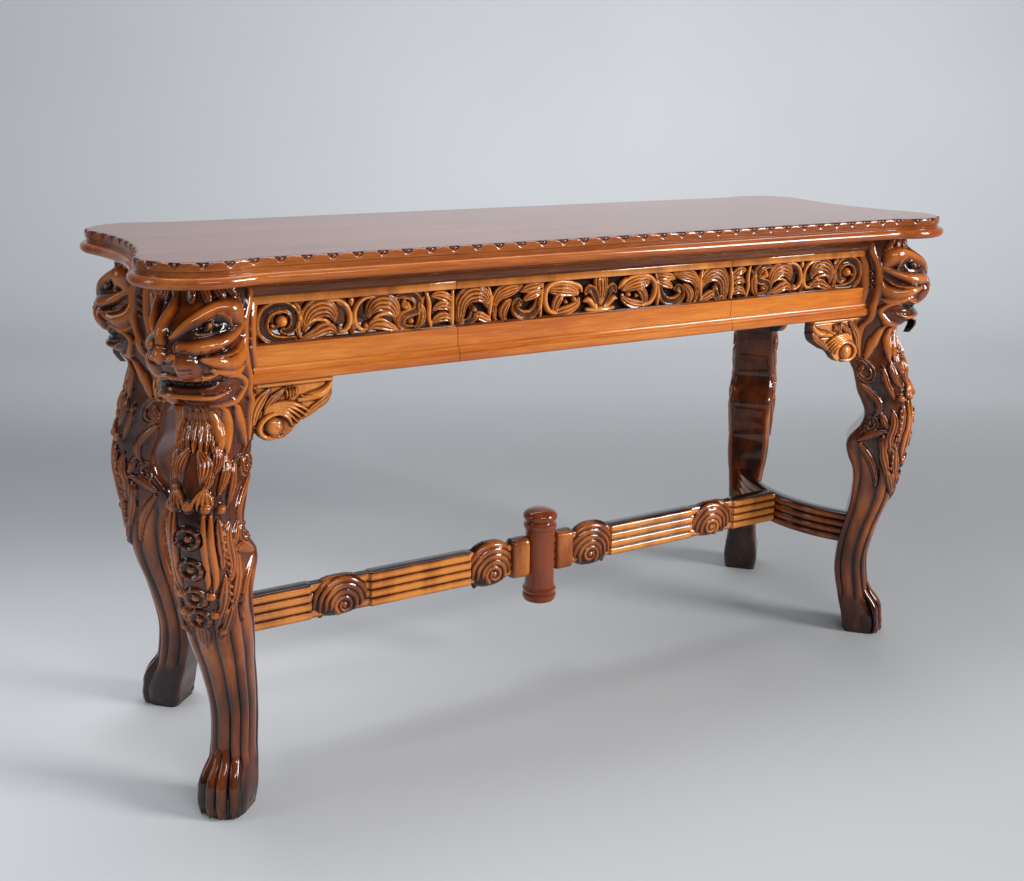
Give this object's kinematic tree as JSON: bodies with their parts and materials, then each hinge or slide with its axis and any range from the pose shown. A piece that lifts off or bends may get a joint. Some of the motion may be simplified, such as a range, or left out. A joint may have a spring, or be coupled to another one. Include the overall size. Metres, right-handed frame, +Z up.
{
  "type": "pier table",
  "caption": "Long carved pier table with lion cabriole legs on paw feet, a pierced scroll frieze with a frieze drawer, scrolled brackets and a low H stretcher.",
  "frame": {"origin": "on the floor under the middle of the top", "axes": "+X along the length, to the right seen from the front; +Y towards the back; +Z up"},
  "size_m": [1.41, 0.512, 0.8],
  "materials": {
    "mahogany": "glossy lacquered mahogany, straight grain",
    "carved_mahogany": "carved, stained and lacquered mahogany with dark recesses",
    "inner_wood": "plain unpolished secondary wood"
  },
  "bodies": {
    "frame": {"bracket_front_left": "carved_mahogany", "bracket_front_right": "carved_mahogany", "bracket_rear_left": "carved_mahogany", "bracket_rear_right": "carved_mahogany", "centre_drum": "mahogany", "centre_stretcher_left": "carved_mahogany", "centre_stretcher_right": "carved_mahogany", "corner_braces": "inner_wood", "cove_front": "mahogany", "cove_left": "mahogany", "cove_rear": "mahogany", "cove_right": "mahogany", "drawer_kicker_left": "inner_wood", "drawer_kicker_right": "inner_wood", "drawer_partition_left": "inner_wood", "drawer_partition_right": "inner_wood", "drawer_runner_left": "inner_wood", "drawer_runner_right": "inner_wood", "drawer_stops": "inner_wood", "edge_band_front": "mahogany", "edge_band_left": "mahogany", "edge_band_rear": "mahogany", "edge_band_right": "mahogany", "end_bracket_front_left": "carved_mahogany", "end_bracket_front_right": "carved_mahogany", "end_bracket_rear_left": "carved_mahogany", "end_bracket_rear_right": "carved_mahogany", "end_fret_left": "carved_mahogany", "end_fret_right": "carved_mahogany", "end_rail_left": "mahogany", "end_rail_right": "mahogany", "end_stretcher_left": "mahogany", "end_stretcher_right": "mahogany", "fret_panel_left": "carved_mahogany", "fret_panel_right": "carved_mahogany", "frieze_rail_left": "mahogany", "frieze_rail_right": "mahogany", "front_top_rail": "inner_wood", "leg_front_left": "carved_mahogany", "leg_front_right": "carved_mahogany", "leg_rear_left": "carved_mahogany", "leg_rear_right": "carved_mahogany", "rear_apron": "mahogany", "top_board": "mahogany"},
    "drawer": {"drawer_back": "inner_wood", "drawer_bottom": "inner_wood", "drawer_fret": "carved_mahogany", "drawer_inner_front": "inner_wood", "drawer_rail": "mahogany", "drawer_side_left": "inner_wood", "drawer_side_right": "inner_wood"}
  },
  "joints": [
    {"name": "drawer_slide", "type": "slide", "parent": "frame", "child": "drawer", "axis": [0, -1, 0], "range_m": [0, 0.2]}
  ]
}
